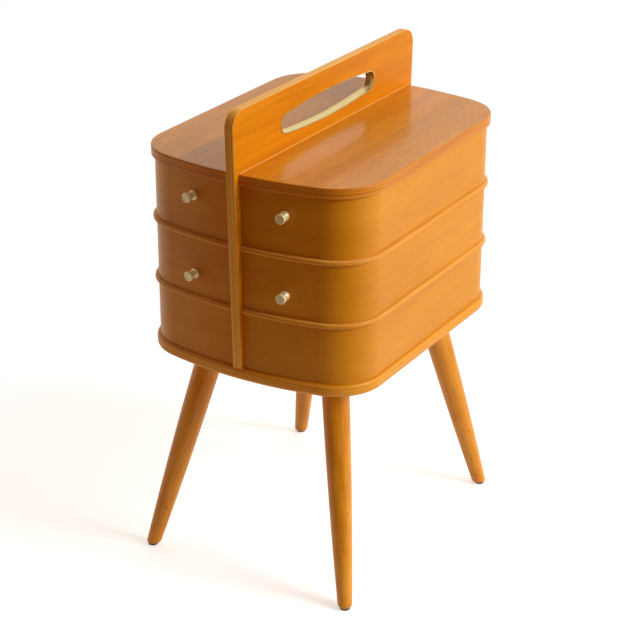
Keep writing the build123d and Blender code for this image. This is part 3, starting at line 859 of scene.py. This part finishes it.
# swept pieces: one section, carried along a path ring by ring; the rings are in mm
def sweepMesh(name, rings, closed, material):
    count = len(rings[0])
    steps = len(rings) if closed else len(rings) - 1
    faces = []
    for i in range(steps):
        here, there = i * count, (i + 1) % len(rings) * count
        for k in range(count):
            following = (k + 1) % count
            faces.append((here + k, here + following, there + following, there + k))
    if not closed:
        faces += [tuple(reversed(range(count))), tuple(range(steps * count, (steps + 1) * count))]
    mesh = bpy.data.meshes.new(name)
    mesh.from_pydata([[v / mmPerMetre for v in point] for ring in rings for point in ring], [], faces)
    shape = bmesh.new()
    shape.from_mesh(mesh)
    bmesh.ops.recalc_face_normals(shape, faces=shape.faces)
    shape.to_mesh(mesh)
    shape.free()
    mesh.shade_smooth()
    mesh.set_sharp_from_angle(angle=sharpFrom)
    mesh.materials.append(material)
    return addObject(name, mesh)


# grip lining: a rolled strip round the hand hole, with a raised lip along each side
liningSizes = {                         # mm
    "length": 218, "height": 33, "endRadius": 11.5, "centreHeight": 573.5,
    "halfWidth": 6.4, "thickness": 1.2, "lipWidth": 1.3, "hollow": 0.4,
    # the lip from the strip's flat outwards: shares of its width inwards, and of the hollow's depth
    "lip": ((1.4, 1), (1, 0.25), (0.6, 0), (0.25, 0), (0, 0.5)),
    "sideSteps": 44, "endSteps": 22,
}


# the hand hole's outline: two long bowed sides and two round ends, each point with its way outwards
def gripPath(sizes):
    longHalf, highHalf, endRadius = sizes["length"] / 2, sizes["height"] / 2, sizes["endRadius"]
    endAlong = longHalf - endRadius
    sideRadius = (endAlong ** 2 / (highHalf - endRadius) + endRadius + highHalf) / 2
    sideDrop = sideRadius - highHalf
    spread = math.atan2(endAlong, sideDrop)
    quarter = math.pi / 2
    arcs = (
        ((0, -sideDrop), sideRadius, quarter - spread, quarter + spread, sizes["sideSteps"]),
        ((-endAlong, 0), endRadius, quarter + spread, 3 * quarter - spread, sizes["endSteps"]),
        ((0, sideDrop), sideRadius, 3 * quarter - spread, 3 * quarter + spread, sizes["sideSteps"]),
        ((endAlong, 0), endRadius, 3 * quarter + spread, 5 * quarter - spread, sizes["endSteps"]),
    )
    for (along, up), radius, start, end, steps in arcs:
        for i in range(steps):
            turn = start + (end - start) * i / steps
            outwards = (math.cos(turn), math.sin(turn))
            yield (along + radius * outwards[0], up + radius * outwards[1]), outwards


def makeLining(sizes):
    wide, lip = sizes["halfWidth"], sizes["lipWidth"]
    half = [(wide - inwards * lip, sizes["hollow"] * depth) for inwards, depth in sizes["lip"]]
    half.append((wide, sizes["thickness"]))
    section = [(-x, n) for x, n in reversed(half)] + half
    rings = [[(x, y + n * out[0], z + n * out[1] + sizes["centreHeight"]) for x, n in section]
             for (y, z), out in gripPath(sizes)]
    lining = sweepMesh("rolled_grip_lining", rings, True, liningGold)
    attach(lining, "box")
    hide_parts("grip_lining")


# joint line: a fine bead in the corner where each lid meets the board
jointSizes = {                          # mm
    "boardFace": 6, "lidTop": 541.5, "reach": 198.4, "width": 1.1, "rise": 0.9,
    "section": ((0, 0), (1, 0), (0.62, 0.24), (0.3, 0.55), (0, 1)),     # shares of the width and the rise
}


def makeJoints(sizes):
    section = [(sizes["boardFace"] + sizes["width"] * out, sizes["lidTop"] + sizes["rise"] * up)
               for out, up in sizes["section"]]
    for side, sign in (("left", -1), ("right", 1)):
        rings = [[(sign * x, sizes["reach"] * end, z) for x, z in section] for end in (-1, 1)]
        joint = sweepMesh(side + "_joint_line", rings, False, jointAmber)
        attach(joint, "box")


makeLining(liningSizes)
makeJoints(jointSizes)
print("lining and joint lines made")

# the solids that are shown as they are
solidFinishes = {
    "base_board": basePly, "handle_board": boardVeneer, "left_lid": lidVeneer, "right_lid": lidVeneer,
    "bottom_left_wall": bentVeneer, "bottom_right_wall": bentVeneer,
    "bottom_left_post": innerBeech, "bottom_right_post": innerBeech,
    "left_pivot_rod": steel, "right_pivot_rod": steel, "pivot_washers": brass,
    "leg_bolts": steel, "leg_inserts": brass, "foot_glides": glideNylon,
}
trayFinishes = {
    "floor": floorPly, "wall": bentVeneer, "side": innerBeech, "pivot_block": innerBeech,
    "pivot_bushes": brass, "knob_screw": steel,
}


def dressFrame(finishes):
    for name, material in finishes.items():
        if not nodes[name].data.materials:
            nodes[name].data.materials.append(material)
        for slot in nodes[name].material_slots:
            slot.material = material


dressFrame(solidFinishes)
for tray in ("top_left", "top_right", "middle_left", "middle_right"):
    dressFrame({f"{tray}_{part}": material for part, material in trayFinishes.items()})
print("frame dressed")
